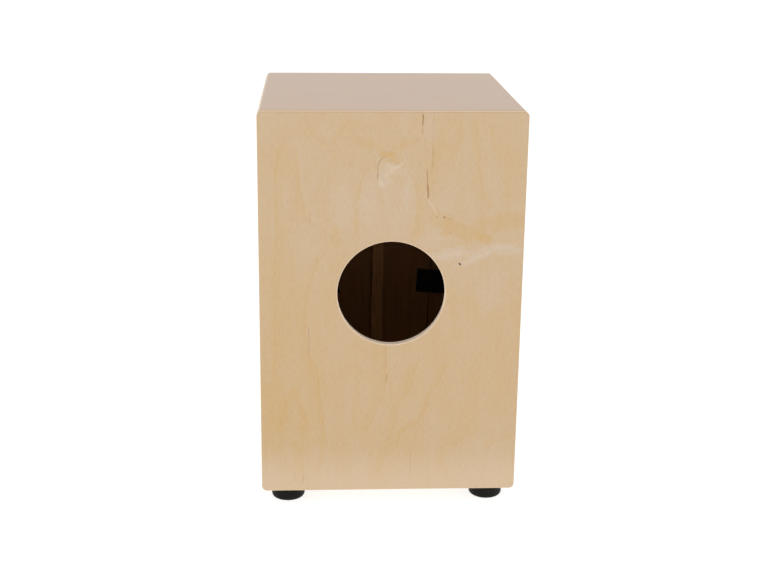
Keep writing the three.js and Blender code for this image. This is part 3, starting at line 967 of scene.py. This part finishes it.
def make_foot(node, rubber):
    """A moulded rubber foot: rounded below, with a fine parting groove, a lip at the top and a
    counterbore for its screw."""
    low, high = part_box(node)
    radius = (high.x - low.x) / 2
    height = high.z - low.z
    washer_low, washer_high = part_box(node.replace("foot_", "foot_washer_"))
    seat = washer_high.z
    recess = (washer_high.x - washer_low.x) / 2 + FOOT["washer_gap"]
    below, lip = FOOT["round_below"], FOOT["lip_round"]
    inner, mouth = FOOT["seat_bevel"], FOOT["mouth_bevel"]
    profile = [(recess + mouth, 0.0)]
    profile += arc(radius - below, below, below, -90, 0, 10)
    profile += arc(radius, height - FOOT["groove_drop"], FOOT["groove"], 270, 90, 6)
    profile += arc(radius - lip, height - lip, lip, 0, 90, 5)
    profile += [(FOOT["shank"], height), (FOOT["shank"], seat), (recess - inner, seat)]
    profile += [(recess, seat - inner), (recess, mouth)]
    centre = ((low.x + high.x) / 2, (low.y + high.y) / 2, low.z)
    mesh = lathe(node + "_fine", profile, centre, FOOT["segments"])
    add_for(node, node + "_fine", mesh, rubber)


def snare_line():
    """The snare leans. Gives the middle of its lower edge, the directions across it and up it, and
    its length along the second."""
    low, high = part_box("snare_wires")
    strut_low, strut_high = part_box("snare_strut")
    lean = math.atan2(strut_high.x - strut_low.x - STRUT_WIDTH, strut_high.z - strut_low.z)
    up = Vector((-math.sin(lean), 0, math.cos(lean)))
    across = Vector((math.cos(lean), 0, math.sin(lean)))
    length = (high.z - low.z - (high.x - low.x) * math.sin(lean)) / math.cos(lean)
    middle = Vector(((low.x + high.x) / 2, high.y, (low.z + high.z) / 2))
    return middle - up * (length / 2), across, up, length


def make_coil(bm, start, across, up, turns, first_angle):
    """One strand: a wire wound round a straight line from start."""
    path = []
    for step in range(turns * COIL["steps"] + 1):
        angle = step / COIL["steps"] * 2 * math.pi + first_angle
        swing = across * math.cos(angle) + Vector((0, math.sin(angle), 0))
        rise = up * (step / COIL["steps"] * COIL["pitch"])
        path.append(start + rise + swing * (COIL["radius"] - COIL["wire"]))
    tube(bm, path, COIL["wire"], COIL["sides"])


def make_strip(name, foot, across, up, height, lacquer):
    """A strip of the snare, with rounded corners and rims. Height is above the snare's lower edge."""
    bm = bmesh.new()
    made = bmesh.ops.create_cube(bm, size=1)
    for vert in made["verts"]:
        x = vert.co.x * 2 * STRIP["half_width"]
        z = (vert.co.z + 0.5) * STRIP["height"] + height
        place = foot + across * x + up * z
        vert.co = Vector((place.x, foot.y + (vert.co.y - 0.5) * STRIP["thickness"], place.z))
    corners = [e for e in bm.edges if abs((e.verts[0].co - e.verts[1].co).y) > 0.5 * STRIP["thickness"]]
    bmesh.ops.bevel(bm, geom=corners, offset=STRIP["corner"], segments=5, affect="EDGES", profile=0.5)
    rims = [e for e in bm.edges if e.calc_face_angle(0) > math.radians(60)]
    bmesh.ops.bevel(bm, geom=rims, offset=STRIP["rim"], segments=4, affect="EDGES", profile=0.5)
    smooth(bm, 40)
    add(name, mesh_of(bm, name), lacquer)


def make_snare(steel, lacquer):
    """The strands as real coils, and the two strips that they are soldered to."""
    foot, across, up, length = snare_line()
    bm = bmesh.new()
    coil_y = foot.y - STRIP["thickness"] - COIL["radius"] + COIL["bite"]
    turns = round((length - 2 * COIL["inset"]) / COIL["pitch"])
    for i in range(COIL["per_side"]):
        for sign in (-1, 1):
            offset = sign * (COIL["first"] + i * COIL["apart"])
            start = foot + across * offset + up * COIL["inset"]
            start.y = coil_y
            make_coil(bm, start, across, up, turns, i)
    for face in bm.faces:
        face.smooth = True
    add_for("snare_wires", "snare_coils", mesh_of(bm, "snare_coils"), steel)
    make_strip("snare_strip_lower", foot, across, up, 0.0, lacquer)
    make_strip("snare_strip_upper", foot, across, up, length - STRIP["height"], lacquer)


def cut_cross(piece, centre, facing, reach, depth):
    """Cuts a tapered cross recess into a screw's head. Facing is the direction that the head faces."""
    bm = bmesh.new()
    for turn in (0, 90):
        made = bmesh.ops.create_cube(bm, size=1)
        for vert in made["verts"]:
            inward = RECESS_TAPER if vert.co.z < 0 else 1.0
            along = vert.co.x * reach * 2 * inward
            thick = vert.co.y * reach * RECESS_ARM * inward
            if turn:
                along, thick = -thick, along
            vert.co = Vector((along, thick, vert.co.z * depth * 2))
    side = facing.orthogonal().normalized()
    axes = (side, facing.cross(side), facing)
    for vert in bm.verts:
        vert.co = centre + sum((axis * part for axis, part in zip(axes, vert.co)), Vector())
    cutter = bpy.data.objects.new("cross", mesh_of(bm, "cross"))
    bpy.context.scene.collection.objects.link(cutter)
    cut = piece.modifiers.new("cross", "BOOLEAN")
    cut.operation = "DIFFERENCE"
    cut.object = cutter
    cut.solver = "EXACT"
    cut.use_self = True
    piece.modifiers.move(len(piece.modifiers) - 1, 0)
    bpy.context.view_layer.update()
    shape = bpy.data.meshes.new_from_object(piece.evaluated_get(bpy.context.evaluated_depsgraph_get()))
    piece.modifiers.clear()
    piece.data = shape
    bpy.data.objects.remove(cutter)


def make_screw(node, material, facing, recess):
    """A screw with a cross recess in its head. Facing is the direction that the head faces."""
    piece = refine(node, material)
    low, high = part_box(node)
    centre = (low + high) / 2
    for axis in range(3):
        if facing[axis] > 0:
            centre[axis] = high[axis]
        elif facing[axis] < 0:
            centre[axis] = low[axis]
    reach, depth = recess
    cut_cross(piece, centre, Vector(facing), reach * MM, depth * MM)


def make_hardware():
    """The screws, washers, screw eyes, strings, feet and snare."""
    bright = make_steel("bright_steel", BRIGHT_STEEL, 0.22)
    wound = make_steel("wound_string", WOUND_STRING, 0.5)
    black = make_steel("black_steel", BLACK_STEEL, 0.3)
    rubber = make_rubber()
    forwards, downwards = (0, -1, 0), (0, 0, -1)
    for node in list(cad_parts):
        if node.startswith("plate_screw"):
            make_screw(node, black, forwards, PLATE_RECESS)
        elif node.startswith("foot_screw"):
            make_screw(node, bright, downwards, FOOT_RECESS)
        elif node.startswith("snare_screw"):
            make_screw(node, bright, forwards, SNARE_RECESS)
        elif node.startswith("foot_washer"):
            refine(node, bright, WASHER_EASE)
        elif node.startswith("string_eye"):
            refine(node, bright)
        elif node in ("string_left", "string_right"):
            refine(node, wound)
        elif node.startswith("foot_"):
            make_foot(node, rubber)
    make_snare(bright, make_lacquer())


make_camera()
make_studio()
make_box()
make_inside()
make_hardware()
